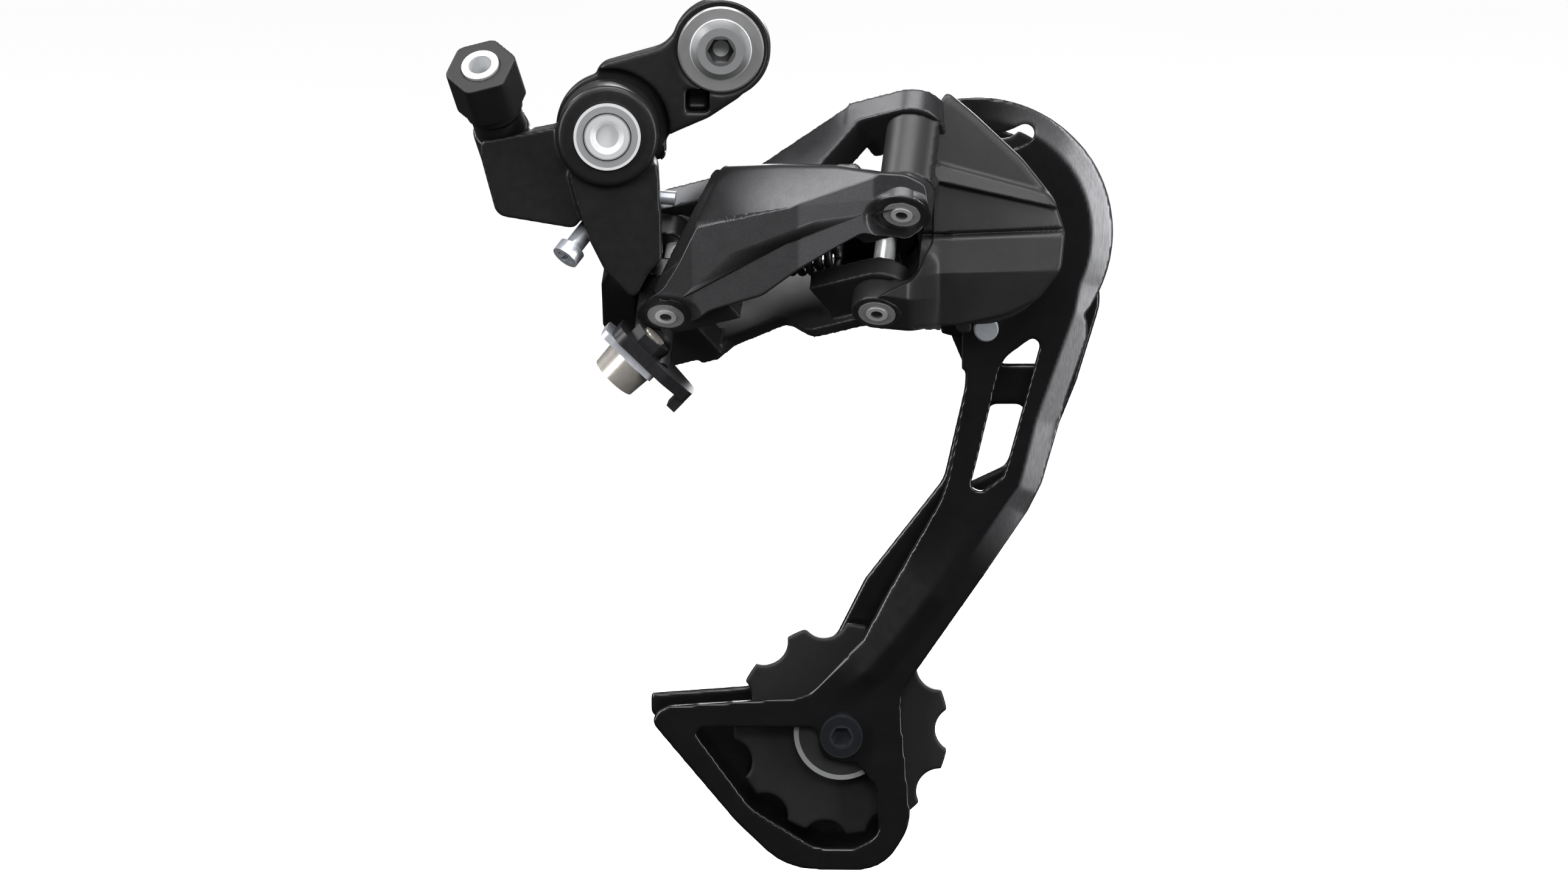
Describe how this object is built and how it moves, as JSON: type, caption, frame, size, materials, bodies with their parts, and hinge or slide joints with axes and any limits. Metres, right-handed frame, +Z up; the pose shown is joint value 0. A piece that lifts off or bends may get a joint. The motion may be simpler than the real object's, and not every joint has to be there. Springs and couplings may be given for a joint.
{
  "type": "rear bicycle derailleur",
  "caption": "Long-cage rear derailleur with a slanted parallelogram, sprung cage with two toothed pulleys, cable adjuster and a short link to the hanger.",
  "frame": {"origin": "on the hanger bolt's axis, at the plane where the bracket link seats on the hanger", "axes": "+X to the front of the bicycle, +Y inboard along the hanger bolt's thread, +Z up"},
  "size_m": [0.1426, 0.0635, 0.1927],
  "materials": {
    "satin_black_casting": "satin black paint on die-cast aluminium",
    "matte_black_casting": "matte dark grey paint on die-cast aluminium",
    "graphite_metallic": "dark metallic grey paint on pressed steel",
    "gloss_black_plate": "gloss black on pressed steel",
    "black_steel": "black oxide on steel",
    "black_plastic": "moulded matte",
    "bright_steel": "turned and plated",
    "grey_steel": "sintered",
    "spring_steel": "drawn wire",
    "zinc": "bright zinc plate",
    "nickel": "nickel plate"
  },
  "bodies": {
    "bracket": {"bracket_link": "satin_black_casting", "hanger_bolt": "bright_steel", "hanger_washer": "bright_steel", "bolt_clip": "spring_steel", "b_axle": "bright_steel", "b_axle_cap": "grey_steel", "stop_plate": "black_steel"},
    "b_knuckle": {"b_knuckle": "satin_black_casting", "b_bush": "grey_steel", "link_pin_b1": "bright_steel", "link_pin_b2": "bright_steel", "adjuster_collar": "black_plastic"},
    "b_screw": {"b_screw": "zinc"},
    "limit_screw_high": {"limit_screw_high": "zinc"},
    "limit_screw_low": {"limit_screw_low": "zinc"},
    "ferrule": {"cable_ferrule": "bright_steel"},
    "adjuster": {"adjuster_knob": "black_plastic"},
    "outer_link": {"outer_link": "graphite_metallic", "outer_link_bushes": "grey_steel", "cable_lever": "black_steel", "cable_clamp_plate": "zinc", "cable_nut": "black_steel", "return_spring": "spring_steel"},
    "cable_bolt": {"cable_bolt": "nickel"},
    "inner_link": {"inner_link": "matte_black_casting", "inner_link_bushes": "grey_steel", "link_pin_p2": "bright_steel"},
    "p_knuckle": {"p_knuckle": "matte_black_casting", "p_knuckle_cover": "matte_black_casting", "link_pin_p1": "bright_steel", "p_knuckle_bushes": "grey_steel", "p_bush": "grey_steel", "p_spring": "spring_steel"},
    "cage": {"cage_outer_plate": "gloss_black_plate", "cage_inner_plate": "gloss_black_plate", "cage_stop_pin": "zinc", "p_axle": "grey_steel", "p_axle_clip": "spring_steel", "guide_bush": "grey_steel", "guide_shields": "black_steel", "guide_bolt": "black_steel", "tension_bush": "grey_steel", "tension_shields": "black_steel", "tension_bolt": "black_steel"},
    "guide_pulley": {"guide_pulley": "black_plastic"},
    "tension_pulley": {"tension_pulley": "black_plastic"}
  },
  "joints": [
    {"name": "b_pivot", "type": "hinge", "parent": "bracket", "child": "b_knuckle", "pos_m": [-0.0239, -0.0166, -0.0169], "axis": [0, 1, 0], "range_deg": [0, 35]},
    {"name": "b_screw_travel", "type": "slide", "parent": "b_knuckle", "child": "b_screw", "axis": [0.5643, 0.4694, 0.6791], "range_m": [-0.004, 0.0002]},
    {"name": "limit_screw_high_travel", "type": "slide", "parent": "b_knuckle", "child": "limit_screw_high", "axis": [0.9934, -0.0792, -0.0833], "range_m": [-0.003, 0.0002]},
    {"name": "limit_screw_low_travel", "type": "slide", "parent": "b_knuckle", "child": "limit_screw_low", "axis": [0.9934, -0.0792, -0.0833], "range_m": [-0.003, 0.0002]},
    {"name": "adjuster_travel", "type": "slide", "parent": "b_knuckle", "child": "ferrule", "axis": [-0.1869, -0.6535, 0.7335], "range_m": [-0.0008, 0.0024]},
    {"name": "adjuster_turn", "type": "hinge", "parent": "ferrule", "child": "adjuster", "pos_m": [-0.0469, -0.012, -0.0162], "axis": [-0.1869, -0.6535, 0.7335], "range_deg": [-360, 1080]},
    {"name": "outer_link_swing", "type": "hinge", "parent": "b_knuckle", "child": "outer_link", "pos_m": [-0.01008, -0.00373, -0.0459], "axis": [0.115, 0.6847, 0.7197], "range_deg": [0, 50], "stiffness_Nm_per_rad": 0.6, "springref_deg": -45.84},
    {"name": "inner_link_swing", "type": "hinge", "parent": "b_knuckle", "child": "inner_link", "pos_m": [-0.01343, 0.01464, -0.05729], "axis": [0.115, 0.6847, 0.7197], "range_deg": [0, 50]},
    {"name": "p_knuckle_swing", "type": "hinge", "parent": "outer_link", "child": "p_knuckle", "pos_m": [0.03997, -0.01964, -0.02209], "axis": [0.115, 0.6847, 0.7197], "range_deg": [-50, 0]},
    {"name": "cable_bolt_travel", "type": "slide", "parent": "outer_link", "child": "cable_bolt", "axis": [-0.6909, 0.1001, -0.716], "range_m": [0, 0.002]},
    {"name": "cage_swing", "type": "hinge", "parent": "p_knuckle", "child": "cage", "pos_m": [0.055, 0, -0.0415], "axis": [0, -1, 0], "range_deg": [0, 100], "stiffness_Nm_per_rad": 0.3, "springref_deg": -85.94},
    {"name": "guide_pulley_spin", "type": "hinge", "parent": "cage", "child": "guide_pulley", "pos_m": [0.055, 0.0128, -0.0415], "axis": [0, 1, 0], "continuous": true},
    {"name": "tension_pulley_spin", "type": "hinge", "parent": "cage", "child": "tension_pulley", "pos_m": [0.026, 0.0128, -0.1518], "axis": [0, 1, 0], "continuous": true}
  ],
  "couplings": [
    {"joint": "inner_link_swing", "follows": "outer_link_swing", "ratio": 1},
    {"joint": "p_knuckle_swing", "follows": "outer_link_swing", "ratio": -1},
    {"joint": "adjuster_turn", "follows": "adjuster_travel", "rad_per_m": 7854}
  ]
}
